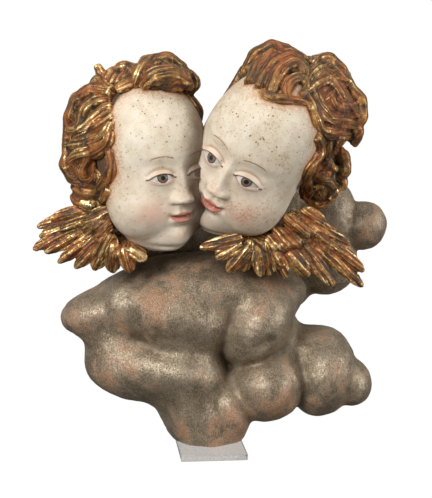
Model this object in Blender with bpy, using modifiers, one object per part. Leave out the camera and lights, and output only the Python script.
"""Two carved angel heads on a bank of clouds, standing on a clear acrylic foot.

The carving is limewood in six blocks: the cloud bank, a board of rear clouds let into its back,
two heads with their hair, and a pair of wings under each chin. +Z is up and the faces look
towards -Y. The origin is the centre of the acrylic foot's underside.
"""

import math

import bmesh
import bpy
import numpy as np
from mathutils import Euler, Matrix, Vector
from mathutils.bvhtree import BVHTree

MM = 0.001

# Driving sizes, in millimetres
FOOT_SIZE = (64.0, 130.0, 6.0)
FOOT_EDGE = 0.6
BACK_Y = 60.0
BOARD_Y = 26.0
BOARD_BOTTOM_Z = 118.0
JOINT_GAP = 0.3
CUTTER_REACH = 400.0

# Where a viewer stands to see the carving's front. Locks are drawn as seen from here.
VIEWER = Vector((-135.0, -1448.0, 398.0))
DRAWING_Y = -20.0

# Grain of each carving while it is fused, and the triangles it is thinned to
CLOUD_GRAIN, HEAD_VOXEL, WING_VOXEL = 3.0, 1.8, 1.6
BANK_FACETS, BOARD_FACETS, HEAD_FACETS, WING_FACETS = 1700, 650, 2450, 950

MATERIALS = {
    "silvered_wood": ((0.36, 0.31, 0.26), 0.45, 0.55),
    "painted_wood": ((0.78, 0.73, 0.63), 0.45, 0.0),
    "gilded_wood": ((0.50, 0.25, 0.09), 0.38, 0.7),
    "acrylic": ((0.86, 0.88, 0.87), 0.05, 0.0),
}

# Billows of the clouds: centre, radii, the lean of the long axis seen from the front, and the
# width over which the billow melts into those before it
BANK_BILLOWS = {

    "left tip": ((-107, 14, 134), (39, 36, 22), 15, 1),
    "left shoulder": ((-80, 8, 143), (27, 42, 29), 35, 12),
    "upper roll": ((-32, 2, 134), (66, 58, 38), -16, 12),
    "lower roll": ((-62, 12, 80), (60, 50, 37), -4, 6),
    "roll end": ((-28, 2, 79), (46, 57, 28), -12, 24),
    "left bridge": ((-90, 12, 110), (30, 34, 18), 2, 20),
    "centre": ((46, 2, 124), (36, 60, 49), -30, 3),
    "low centre": ((56, 0, 62), (40, 56, 39), 10, 5),
    "right": ((114, 8, 69), (34, 50, 45), -10, 6),
    "right knob": ((143, 6, 58), (22, 30, 24), 10, 5),
    "saddle": ((86, 16, 98), (36, 32, 17), -8, 16),
    "foot": ((-12, 10, 40), (38, 56, 66), 24, 16),
    "foot ridge": ((20, -2, 38), (18, 46, 34), 14, 9),
    "neck": ((62, 18, 152), (38, 38, 24), -4, 14),
    "shelf": ((-2, 10, 158), (78, 54, 32), -4, 16),
    "core": ((6, 26, 98), (92, 32, 62), -4, 10),
}
BOARD_BILLOWS = {

    "upper": ((126, 47, 220), (31, 21, 44), 8, 1),
    "knob": ((163, 47, 211), (24, 20, 25), 0, 4),
    "lower": ((122, 47, 173), (36, 21, 33), -10, 6),
    "behind the right head": ((66, 50, 216), (60, 24, 66), 0, 6),
    "behind the left head": ((-38, 50, 214), (56, 24, 62), 0, 8),
    "let into the bank": ((20, 48, 150), (92, 26, 40), 0, 6),
}

# Creases gouged between the bank's billows: path, gouge radius, and the width of its soft edge
BANK_GOUGES = {
    "beside the centre": (((-13, -56, 170), (2, -58, 151), (15, -57, 125), (21, -55, 104)), 7, 6),
    "under the upper roll": (
        ((-85, -46, 127), (-51, -56, 116), (-9, -58, 105), (13, -58, 91)), 6, 6,
    ),
    "under the centre": (((13, -58, 91), (32, -60, 98), (54, -56, 111)), 6, 6),
    "down the foot": (((13, -60, 87), (25, -56, 65), (29, -50, 44)), 6, 6),
    "dent in the foot": (((8, -56, 65), (-2, -58, 50), (-11, -56, 40)), 6, 9),
    "beside the right": (((90, -46, 102), (85, -50, 74), (82, -44, 51)), 5, 7),
    "beside the left tip": (((-94, -40, 167), (-90, -46, 148), (-87, -48, 128)), 7, 14),
}


def colour_material(name):
    colour, roughness, metallic = MATERIALS[name]
    material = bpy.data.materials.new(name)
    material.use_nodes = True
    shader = material.node_tree.nodes["Principled BSDF"]
    shader.inputs["Base Color"].default_value = (*colour, 1.0)
    shader.inputs["Roughness"].default_value = roughness
    shader.inputs["Metallic"].default_value = metallic
    return material


def object_from(name, bm, collection, material=None):
    """A new object, in metres, that takes over the millimetre mesh bm."""
    mesh = bpy.data.meshes.new(name)
    bmesh.ops.scale(bm, vec=(MM, MM, MM), verts=bm.verts)
    bm.to_mesh(mesh)
    bm.free()
    obj = bpy.data.objects.new(name, mesh)
    collection.objects.link(obj)
    if material:
        mesh.materials.append(material)
    return obj


def evaluated_mesh(obj):
    bpy.context.view_layer.update()
    graph = bpy.context.evaluated_depsgraph_get()
    return bpy.data.meshes.new_from_object(obj.evaluated_get(graph))


def keep_largest_shell(mesh):
    """Deletes loose crumbs and the walls of sealed hollows, which a carving doesn't have."""
    bm = bmesh.new()
    bm.from_mesh(mesh)
    unseen = set(bm.verts)
    shells = []
    while unseen:
        shell, reached = set(), [unseen.pop()]
        while reached:
            vert = reached.pop()
            shell.add(vert)
            near = {e.other_vert(vert) for e in vert.link_edges} & unseen
            unseen -= near
            reached.extend(near)
        shells.append(shell)
    largest = max(shells, key=len)
    crumbs = [v for shell in shells if shell is not largest for v in shell]
    bmesh.ops.delete(bm, geom=crumbs, context="VERTS")
    bm.to_mesh(mesh)
    bm.free()


# Cutters


def hide_cutter(cutter):
    cutter.hide_render = True
    cutter.display_type = "WIRE"
    return cutter


def box_cutter(name, low, high, cutters):
    bm = bmesh.new()
    size = [b - a for a, b in zip(low, high)]
    centre = [(a + b) / 2 for a, b in zip(low, high)]
    bmesh.ops.create_cube(bm, matrix=Matrix.Translation(centre) @ Matrix.Diagonal((*size, 1.0)))
    return hide_cutter(object_from(name, bm, cutters))


def clearance_cutter(obj, gap, cutters):
    """A copy of a finished carving, grown by gap, to cut its neighbour back from it."""
    cutter = bpy.data.objects.new(f"room for {obj.name}", obj.data.copy())
    cutters.objects.link(cutter)
    grow = cutter.modifiers.new("Grow", "DISPLACE")
    grow.strength = gap * MM
    grow.mid_level = 0.0
    return hide_cutter(cutter)


def cut(obj, *cutters):
    """Cuts each cutter from obj in turn and keeps the one block that is left."""
    for cutter in cutters:
        boolean = obj.modifiers.new(cutter.name, "BOOLEAN")
        boolean.operation = "DIFFERENCE"
        boolean.solver = "EXACT"
        boolean.use_self = True
        boolean.object = cutter
        remains = evaluated_mesh(obj)
        obj.modifiers.clear()
        keep_largest_shell(remains)
        obj.data = remains


def carve(obj, voxel, smoothing, facets):
    """Fuses an object's lumps into one block of wood, softens it and thins it to facets."""
    remesh = obj.modifiers.new("Fuse", "REMESH")
    remesh.mode = "VOXEL"
    remesh.voxel_size = voxel * MM
    fused = evaluated_mesh(obj)
    obj.modifiers.clear()
    keep_largest_shell(fused)
    obj.data = fused
    finish_surface(obj, smoothing, facets)


def finish_surface(obj, smoothing, facets):
    """Softens a surface of quads and thins it to facets."""
    smooth = obj.modifiers.new("Soften", "SMOOTH")
    smooth.factor = 0.5
    smooth.iterations = smoothing
    thin = obj.modifiers.new("Facets", "DECIMATE")
    thin.ratio = min(1.0, facets / (2 * len(obj.data.polygons)))
    thin.use_collapse_triangulate = True
    obj.data = evaluated_mesh(obj)
    obj.modifiers.clear()


# Lumps that are fused into carvings


def add_ball(bm, centre, radii, lean=0.0, subdivisions=4):
    """An ellipsoid whose long axis leans by lean degrees in the front elevation."""
    turn = Euler((0, math.radians(-lean), 0)).to_matrix().to_4x4()
    place = Matrix.Translation(centre) @ turn @ Matrix.Diagonal((*radii, 1.0))
    bmesh.ops.create_icosphere(bm, subdivisions=subdivisions, radius=1.0, matrix=place)


def add_mesh(bm, mesh):
    bm.from_mesh(mesh)
    bpy.data.meshes.remove(mesh)


def add_lock(bm, points, radius, collection):
    """A lock of hair along points, thickest in its first half, with rounded-off ends."""
    curve = bpy.data.curves.new("lock", "CURVE")
    curve.dimensions = "3D"
    curve.bevel_depth = radius
    curve.bevel_resolution = 2
    curve.use_fill_caps = True
    curve.resolution_u = 4
    spline = curve.splines.new("NURBS")
    spline.points.add(len(points) - 1)
    spline.order_u = 3
    spline.use_endpoint_u = True
    last = len(points) - 1
    for number, (knot, point) in enumerate(zip(spline.points, points)):
        along = number / last
        knot.co = (*point, 1.0)
        knot.radius = 0.35 + 0.65 * math.sin(math.pi * (0.12 + 0.78 * along)) ** 0.7
    strand = bpy.data.objects.new("lock", curve)
    collection.objects.link(strand)
    add_mesh(bm, evaluated_mesh(strand))
    bpy.data.objects.remove(strand)
    bpy.data.curves.remove(curve)


def add_feather(bm, root, tip, width, thickness=5.5):
    """A leaf-shaped feather from root to tip, broad side to the front, thinner at its tip."""
    root, tip = Vector(root), Vector(tip)
    along = tip - root
    front = Vector((0, -1, 0))
    across = along.cross(front).normalized()
    out = across.cross(along).normalized()
    frame = Matrix((along.normalized(), across, out)).transposed().to_4x4()
    scale = Matrix.Diagonal((along.length * 0.56, width / 2, thickness / 2, 1.0))
    middle = Matrix.Translation((root + tip) / 2)
    made = bmesh.ops.create_icosphere(bm, subdivisions=3, radius=1.0)
    for vert in made["verts"]:
        fullness = 1.0 - 0.25 * vert.co.x
        vert.co.z *= fullness
        vert.co = middle @ frame @ scale @ vert.co


# Forms that melt together, as distances in millimetres, negative inside


def ellipsoid_distance(points, centre, radii):
    offset = points - np.array(centre, float)
    scaled = np.linalg.norm(offset / radii, axis=1)
    slope = np.linalg.norm(offset / np.square(radii), axis=1)
    return scaled * (scaled - 1.0) / np.maximum(slope, 1e-9)


def melt(a, b, width):
    """Union of two distances, rounded over width."""
    share = np.clip(0.5 + 0.5 * (b - a) / width, 0.0, 1.0)
    return b + (a - b) * share - width * share * (1.0 - share)


def segment_distance(points, start, end):
    along = np.subtract(end, start)
    share = np.clip((points - start) @ along / (along @ along), 0.0, 1.0)
    return np.linalg.norm(points - start - share[:, None] * along, axis=1)


def skin(distance, low, high, grain):
    """Points and quads of the surface where a distance is zero, found cell by cell on a grid."""
    axes = [np.arange(a, b + grain, grain) for a, b in zip(low, high)]
    grid = np.stack(np.meshgrid(*axes, indexing="ij"), -1)
    value = distance(grid.reshape(-1, 3)).reshape(grid.shape[:3])
    cells = np.array(value.shape) - 1
    total, count, crossings = np.zeros((*cells, 3)), np.zeros(cells), []
    for axis in range(3):
        first, second = np.delete(value, -1, axis), np.delete(value, 0, axis)
        crosses = (first < 0) != (second < 0)
        crossings.append((crosses, first < 0))
        place = np.indices(crosses.shape).astype(float)
        place[axis] += np.where(crosses, first / np.where(crosses, first - second, 1.0), 0.0)
        one, other = (k for k in range(3) if k != axis)
        for a, b in ((0, 0), (0, 1), (1, 0), (1, 1)):
            part = [slice(None)] * 3
            part[one], part[other] = slice(a, cells[one] + a), slice(b, cells[other] + b)
            here = crosses[tuple(part)]
            count += here
            total += (place[(slice(None), *part)] * here).transpose(1, 2, 3, 0)
    found = count > 0
    number = np.full(cells, -1)
    number[found] = np.arange(np.count_nonzero(found))
    points = np.array(low) + grain * total[found] / count[found][:, None]
    quads = []
    for axis, (crosses, inside) in enumerate(crossings):
        one, other = ((1, 2), (2, 0), (0, 1))[axis]
        edges = np.argwhere(crosses)
        corners = []
        for a, b in ((1, 1), (0, 1), (0, 0), (1, 0)):
            cell = edges.copy()
            cell[:, one] -= a
            cell[:, other] -= b
            corners.append(number[tuple(cell.T)])
        quad = np.stack(corners, 1)
        inwards = ~inside[tuple(edges.T)]
        quad[inwards] = quad[inwards][:, ::-1]
        quads.append(quad)
    return points, np.vstack(quads)


# Clouds


def cloud_distance(points, billows, gouges):
    """Distance to billows that melt into one another, with creases gouged between them."""
    found = np.full(len(points), 1e3)
    for centre, radii, lean, width in billows.values():
        turn = np.array(Euler((0, math.radians(-lean), 0)).to_matrix())
        own = (points - centre) @ turn
        found = melt(found, ellipsoid_distance(own, (0, 0, 0), radii), width)
    for path, radius, width in gouges.values():
        cuts = [segment_distance(points, a, b) - radius for a, b in zip(path, path[1:])]
        found = -melt(-found, np.minimum.reduce(cuts), width)
    return found


def cloud(name, billows, gouges, facets, collection, material):
    low = np.min([np.subtract(b[0], max(b[1])) for b in billows.values()], axis=0)
    high = np.max([np.add(b[0], max(b[1])) for b in billows.values()], axis=0)
    points, quads = skin(lambda p: cloud_distance(p, billows, gouges), low, high, CLOUD_GRAIN)
    bm = bmesh.new()
    verts = [bm.verts.new(point) for point in points]
    for quad in quads:
        bm.faces.new([verts[n] for n in quad])
    obj = object_from(name, bm, collection, material)
    keep_largest_shell(obj.data)
    finish_surface(obj, 3, facets)
    return obj


# Heads. The form of a child's head is a smooth union of named masses, in millimetres, with the
# chin at z 0, the crown near z 172 and the face towards -Y. Each mass is a centre, radii and the
# width over which it melts into the rest. Those off the middle are given for +X and mirrored.
HEAD_CORE = np.array((0.0, 4.0, 70.0))
HEAD_MASSES = {
    "skull": ((0, 14, 105), (51, 60, 59), 1),
    "forehead": ((0, -17, 106), (44, 42, 44), 22),
    "face": ((0, -14, 60), (49, 44, 58), 30),
    "cheek": ((27, -28, 42), (27, 28, 28), 20),
    "muzzle": ((0, -44, 38), (18, 16, 16), 14),
    "chin": ((0, -45, 15), (14, 13, 12), 12),
    "double chin": ((0, -20, 10), (30, 28, 14), 14),
}


def rise(low, high, value):
    share = np.clip((value - low) / (high - low), 0.0, 1.0)
    return share * share * (3.0 - 2.0 * share)


def bump(x, z, middle_x, middle_z, width, height):
    return np.exp(-(((x - middle_x) / width) ** 2) - ((z - middle_z) / height) ** 2)


def face_relief(x, z):
    """How far nose, eyes, mouth and chin stand out from the face, x being off the middle."""
    down = np.clip((85.0 - z) / 27.0, 0.0, 1.0)
    ridge = (1.2 + 9.8 * down**1.3) * np.exp(-(np.clip((z - 83.0) / 9.0, 0.0, 9.0) ** 2))
    nose = ridge * np.exp(-((x / (4.8 + 2.4 * down**2)) ** 2))
    nose += 2.8 * bump(x, z, 0, 58.5, 6.5, 5.5) + 5.5 * bump(x, z, 7.6, 55.6, 4.2, 4.2)
    nose *= rise(49.5, 54.0, z)
    eyes = 3.6 * bump(x, z, 20, 77, 12.5, 8) - 2.6 * bump(x, z, 17, 87, 14, 7)
    eyes -= 3.0 * bump(x, z, 7.5, 80, 5, 8)
    arch = 1.0 - np.clip((x - 20.0) / 12.0, -1.0, 1.0) ** 2
    lids = 1.2 * np.exp(-(((z - 77.0 - 5.0 * arch) / 1.8) ** 2))
    lids += 0.8 * np.exp(-(((z - 75.6 + 3.8 * arch) / 1.8) ** 2))
    eyes += lids * np.exp(-(np.abs((x - 20.0) / 12.8) ** 6))
    gap = 37.4 + 0.012 * x * x
    mouth = 3.0 * np.exp(-np.abs(x / 11.0) ** 4) * np.exp(-(((z - gap - 3.3) / 2.5) ** 2))
    mouth += 3.4 * np.exp(-np.abs(x / 8.8) ** 4) * np.exp(-(((z - gap + 3.5) / 2.7) ** 2))
    mouth -= 3.2 * np.exp(-np.abs(x / 9.5) ** 6) * np.exp(-(((z - gap) / 1.2) ** 2))
    mouth -= 1.6 * bump(x, z, 12.6, 38.8, 3.2, 3.6) + 2.0 * bump(x, z, 0, 27.8, 9, 3.6)
    chin = 1.4 * bump(x, z, 0, 18, 9, 7) - 1.2 * np.exp(-(((z - 5.0) / 3.2) ** 2))
    return nose + eyes + mouth + chin


def head_distance(points):
    """Distance from each point to the head's surface, negative inside."""
    folded = points.copy()
    folded[:, 0] = np.abs(folded[:, 0])
    found = np.full(len(points), 1e3)
    for centre, radii, width in HEAD_MASSES.values():
        found = melt(found, ellipsoid_distance(folded, centre, radii), width)
    facing = rise(18.0, 38.0, -folded[:, 1])
    return found - facing * face_relief(folded[:, 0], folded[:, 2])


def add_head_form(bm, place):
    """An icosphere drawn in along its rays onto the head's surface, then put in its place."""
    outside, steps, bracket, halvings = 140.0, 22, 4.0, 8
    form = bmesh.new()
    bmesh.ops.create_icosphere(form, subdivisions=6, radius=1.0)
    rays = np.array([v.co for v in form.verts])
    reach = np.full(len(rays), outside)
    for _ in range(steps):
        reach -= 0.8 * head_distance(HEAD_CORE + rays * reach[:, None])
    low, high = reach - bracket, reach + bracket
    for _ in range(halvings):
        middle = (low + high) / 2
        out = head_distance(HEAD_CORE + rays * middle[:, None]) > 0
        high = np.where(out, middle, high)
        low = np.where(out, low, middle)
    surface = HEAD_CORE + rays * high[:, None]
    for vert, point in zip(form.verts, surface):
        vert.co = place @ Vector(point)
    scratch = bpy.data.meshes.new("head form")
    form.to_mesh(scratch)
    form.free()
    add_mesh(bm, scratch)


# Each angel: where the middle of the head is, its size against the named masses, and how far it
# turns to its side, tips down and leans, in degrees
HEAD_MIDDLE = Vector((0.0, 0.0, 85.0))
ANGELS = {
    "left": {"at": (-59, -16, 288), "size": 0.97, "turn": 28, "tip": 7, "lean": 5},
    "right": {"at": (48, -29, 299), "size": 1.01, "turn": -34, "tip": 13, "lean": -33},
}
CROWN_HAIR = ((0, 24, 108), (53, 54, 60))

# Masses of hair under the locks: centre, radii and lean
HAIR_MASSES = {
    "left": {
        "side": ((-113, -4, 303), (21, 28, 50), -6),
        "top": ((-48, -26, 361), (27, 28, 13), -6),
        "crown": ((-83, -14, 353), (22, 28, 14), 25),
        "nape": ((-115, -6, 249), (15, 22, 15), 0),
    },
    "right": {
        "forelock": ((60, -24, 364), (29, 32, 18), 18),
        "side": ((115, -6, 334), (25, 32, 40), 8),
        "nape": ((105, -4, 274), (21, 27, 35), 6),
    },
}

# Locks of hair, each a curl as drawn from the viewer's place: where it starts, across and up, its
# heading in degrees, its length, how far it bends along the way, how far its bend then tightens
# or turns back, and its radius
LOCKS = {
    "left": {
        "quiff": (-68, 358, 85, 63, -160, 5, 10),
        "quiff front": (-64, 354, 60, 54, -130, 15, 9),
        "quiff curl": (-32, 366, 15, 36, -60, -140, 6.5),
        "crown lobe": (-97, 360, 50, 42, -5, -165, 8),
        "flick": (-95, 351, 122, 29, -15, 10, 5.5),
        "hairline roll": (-89, 351, 30, 32, 5, -70, 6),
        "temple sweep": (-93, 350, 165, 60, 100, 10, 9),
        "temple strand": (-93, 344, 175, 45, 100, -15, 7),
        "temple wave": (-93, 336, -170, 52, 195, -245, 7),
        "temple ridge": (-93, 327, -130, 41, -75, 55, 5),
        "ear wave": (-94, 321, -90, 50, -210, 135, 7),
        "ear lock": (-95, 311, -75, 57, -335, 305, 8),
        "side curl": (-136, 295, -105, 39, 55, 35, 8),
        "inner curl": (-113, 295, -115, 44, -120, 330, 6),
        "gilt ringlet": (-96, 294, -75, 71, -60, -105, 6.5),
        "small ringlet": (-107, 274, -35, 36, -340, 205, 5),
        "nape ringlet": (-132, 252, -65, 49, 140, 15, 6.5),
        "nape tip": (-130, 240, -35, 26, 45, 25, 5),
        "far side": (-17, 326, -72, 26, -20, -15, 4.5),
    },
    "right": {
        "forelock": (33, 364, 70, 57, -45, -55, 9),
        "forelock strand": (37, 357, 55, 65, 5, -105, 9),
        "forelock wave": (46, 353, 55, 59, 35, -150, 8),
        "forelock curl": (58, 348, 70, 63, 25, -245, 8),
        "brow curl": (74, 342, 110, 53, -145, -145, 6),
        "hairline ruffle": (48, 350, -50, 48, 160, -135, 5),
        "crown lobe": (98, 374, 70, 41, -305, 210, 9),
        "crown sweep": (94, 359, 75, 60, -290, 170, 9),
        "spiral": (93, 349, 40, 93, -35, -280, 7),
        "outer sweep": (135, 354, -35, 53, -115, 15, 8),
        "temple lock": (94, 345, -60, 36, -60, 70, 6),
        "under spiral": (100, 348, -80, 51, 50, 60, 6),
        "ear wave": (116, 323, -5, 47, 10, -160, 8),
        "ear lock": (108, 313, -50, 34, 245, -285, 7),
        "cheek lock": (103, 306, -40, 53, -345, 345, 7),
        "outer ringlet": (121, 296, -30, 40, -80, -45, 7),
        "middle ringlet": (116, 302, -115, 39, 10, 130, 6),
        "lowest ringlet": (93, 266, -120, 74, 225, 90, 6),
        "nape lock": (116, 263, -40, 22, -80, -20, 6),
        "nape tip": (124, 267, 10, 20, -170, 5, 5),
    },
}
# Plainer locks over the crown and down the far side: turns about the head from its front
FAR_LOCKS = {"left": (62, 84, 106, 128), "right": (-88, -106, -124, -142)}

# Rows of feathers in the wings under each chin. The roots run from the first point to the second
# and the tips from the third to the fourth, those between reaching out by so much more, with a
# count and a width.
FEATHER_ROWS = {
    "left": {
        "primaries": (
            ((-106, -22, 232), (-93, -48, 208), (-169, -8, 199), (-94, -40, 184)), 4, 6, 15,
        ),
        "coverts": (
            ((-104, -28, 242), (-95, -48, 215), (-147, -16, 231), (-104, -38, 196)), 3, 5, 14,
        ),
        "upper": (
            ((-104, -24, 240), (-104, -26, 234), (-156, -10, 223), (-163, -9, 212)), 0, 2, 14,
        ),
        "shoulder": (
            ((-98, -38, 240), (-96, -44, 229), (-118, -34, 231), (-109, -40, 216)), 0, 2, 13,
        ),
        "ruff": (((-81, -57, 207), (-84, -55, 204), (-67, -59, 197), (-79, -54, 185)), 0, 2, 13),
    },
    "right": {
        "primaries": (
            ((104, -38, 216), (86, -42, 206), (144, -34, 183), (117, -38, 167)), 20, 3, 15,
        ),
        "under row": (((72, -46, 198), (36, -54, 208), (92, -42, 174), (31, -52, 184)), 4, 4, 14),
        "coverts": (((80, -40, 233), (40, -54, 208), (128, -36, 205), (45, -52, 180)), 2, 5, 15),
        "shoulder": (((84, -44, 238), (72, -48, 231), (106, -42, 222), (92, -46, 213)), 0, 2, 14),
        "ruff": (((23, -56, 211), (30, -57, 202), (-7, -52, 204), (14, -54, 182)), 2, 3, 13),
    },
}
# Bodies of the wings, which run back under the chins to the board: centre, radii and lean
WING_BODIES = {
    "left": [
        ((-106, -20, 227), (21, 22, 15), 25),
        ((-94, -4, 204), (22, 34, 13), 5),
        ((-82, -30, 199), (22, 28, 11), 5),
    ],
    "right": [
        ((90, -28, 220), (22, 20, 12), -25),
        ((60, -26, 205), (42, 30, 14), 8),
        ((26, -40, 200), (24, 22, 11), 5),
        ((56, 2, 200), (36, 30, 12), 5),
    ],
}


def head_place(angel):
    """The matrix that takes the head's own millimetres to the carving's."""
    turn = Euler((math.radians(angel["tip"]), 0, math.radians(angel["turn"]))).to_matrix()
    lean = Euler((0, math.radians(-angel["lean"]), 0)).to_matrix()
    return (
        Matrix.Translation(angel["at"])
        @ (turn @ lean).to_4x4()
        @ Matrix.Diagonal((*([angel["size"]] * 3), 1.0))
        @ Matrix.Translation(-HEAD_MIDDLE)
    )


def seen_on(form, across, up, depth, lift):
    """Where a point drawn from the viewer's place lies on the form, lift nearer the viewer."""
    sight = (Vector((across, DRAWING_Y, up)) - VIEWER).normalized()
    hit = form.ray_cast(VIEWER, sight)[0]
    if hit is None:
        passing = VIEWER + sight * ((depth - VIEWER.y) / sight.y)
        hit = form.find_nearest(passing)[0].lerp(passing, 0.9)
    return hit - sight * lift


def curl(across, up, heading, length, bend, tightening, radius):
    """Points about one radius apart along a curl, in the drawing plane."""
    steps = max(4, round(length / radius))
    points = [(across, up)]
    for step in range(steps):
        along = (step + 0.5) / steps
        direction = math.radians(heading + bend * along + tightening * along * along)
        across += length / steps * math.cos(direction)
        up += length / steps * math.sin(direction)
        points.append((across, up))
    return points


def head(side, collection, material):
    """One head, its hair and its locks as a single block."""
    angel = ANGELS[side]
    place = head_place(angel)
    bm = bmesh.new()
    add_head_form(bm, place)
    crown_centre, crown_radii = CROWN_HAIR
    cap = Matrix.Translation(crown_centre) @ Matrix.Diagonal((*crown_radii, 1.0))
    bmesh.ops.create_icosphere(bm, subdivisions=4, radius=1.0, matrix=place @ cap)
    for centre, radii, lean in HAIR_MASSES[side].values():
        add_ball(bm, centre, radii, lean)
    form = BVHTree.FromBMesh(bm)
    depth = angel["at"][1] + 8
    for lock in LOCKS[side].values():
        radius = lock[-1]
        points = [seen_on(form, x, z, depth, 0.25 * radius) for x, z in curl(*lock)]
        add_lock(bm, points, radius, collection)
    centre = place @ Vector(crown_centre)
    for turn in FAR_LOCKS[side]:
        points = []
        for height, sway in ((74, 0), (56, 9), (38, -7), (18, 6), (0, -5), (-20, 4)):
            rise_angle, around = math.radians(height), math.radians(turn + sway)
            ray = Vector((math.sin(around), -math.cos(around), math.tan(rise_angle)))
            ray = (place.to_3x3() @ ray).normalized()
            start = centre + ray * 200
            points.append(form.ray_cast(start, -ray)[0])
        add_lock(bm, points, 8.5, collection)
    obj = object_from(f"{side}_angel_head", bm, collection, material)
    carve(obj, HEAD_VOXEL, 2, HEAD_FACETS)
    return obj


def wings(side, collection, material):
    bm = bmesh.new()
    for corners, bow, count, width in FEATHER_ROWS[side].values():
        first_root, last_root, first_tip, last_tip = (Vector(corner) for corner in corners)
        for number in range(count):
            share = number / (count - 1)
            root = first_root.lerp(last_root, share)
            tip = first_tip.lerp(last_tip, share)
            tip += (tip - root).normalized() * bow * math.sin(math.pi * share)
            add_feather(bm, root, tip, width)
    for centre, radii, lean in WING_BODIES[side]:
        add_ball(bm, centre, radii, lean, 3)
    obj = object_from(f"{side}_angel_wings", bm, collection, material)
    carve(obj, WING_VOXEL, 1, WING_FACETS)
    return obj


def acrylic_foot(collection, material):
    bm = bmesh.new()
    middle = Matrix.Translation((0, 0, FOOT_SIZE[2] / 2))
    bmesh.ops.create_cube(bm, matrix=middle @ Matrix.Diagonal((*FOOT_SIZE, 1.0)))
    bmesh.ops.bevel(bm, geom=bm.edges[:], offset=FOOT_EDGE, segments=1, affect="EDGES")
    return object_from("acrylic_foot", bm, collection, material)


def main():
    for old in list(bpy.data.objects):
        bpy.data.objects.remove(old)
    parts = bpy.data.collections.new("Carved angel heads")
    cutters = bpy.data.collections.new("Cutters")
    for collection in (parts, cutters):
        bpy.context.scene.collection.children.link(collection)
    material = {name: colour_material(name) for name in MATERIALS}

    silvered = material["silvered_wood"]
    bank = cloud("cloud_bank", BANK_BILLOWS, BANK_GOUGES, BANK_FACETS, parts, silvered)
    board = cloud("rear_cloud", BOARD_BILLOWS, {}, BOARD_FACETS, parts, silvered)
    left_head = head("left", parts, material["painted_wood"])
    right_head = head("right", parts, material["painted_wood"])
    left_wings = wings("left", parts, material["gilded_wood"])
    right_wings = wings("right", parts, material["gilded_wood"])
    acrylic_foot(parts, material["acrylic"])

    # The back is sawn flat, and the underside is planed to sit on the acrylic
    far = CUTTER_REACH
    top = FOOT_SIZE[2] + JOINT_GAP
    back = box_cutter("back plane", (-far, BACK_Y, -far), (far, far, far * 2), cutters)
    under = box_cutter("underside plane", (-far, -far, -far), (far, far, top), cutters)
    # The board of rear clouds is let into a rebate in the bank's back
    rebate_low = (-far, BOARD_Y, BOARD_BOTTOM_Z)
    rebate = box_cutter("rebate", rebate_low, (far, far + 1, far * 2), cutters)
    front_y = BOARD_Y + JOINT_GAP
    bottom_z = BOARD_BOTTOM_Z + JOINT_GAP
    front = box_cutter("board front", (-far, -far, -far), (far, front_y, far * 2), cutters)
    bottom = box_cutter("board bottom", (-far, 0, -far), (far, far, bottom_z), cutters)
    heads_back = box_cutter("heads' back", (-far, BOARD_Y, -far), (far, far, far * 2), cutters)
    cut(bank, back, under, rebate)
    cut(board, back, front, bottom)
    cut(left_head, heads_back)
    cut(right_head, heads_back)

    # Cheek to cheek: the left head is hollowed to take the right one, and the wings fit under both
    cut(left_head, clearance_cutter(right_head, 0.5, cutters))
    for pair in (left_wings, right_wings):
        cut(pair, heads_back, *(clearance_cutter(o, 0.5, cutters) for o in (left_head, right_head)))
        cut(pair, clearance_cutter(bank, 0.5, cutters))


main()
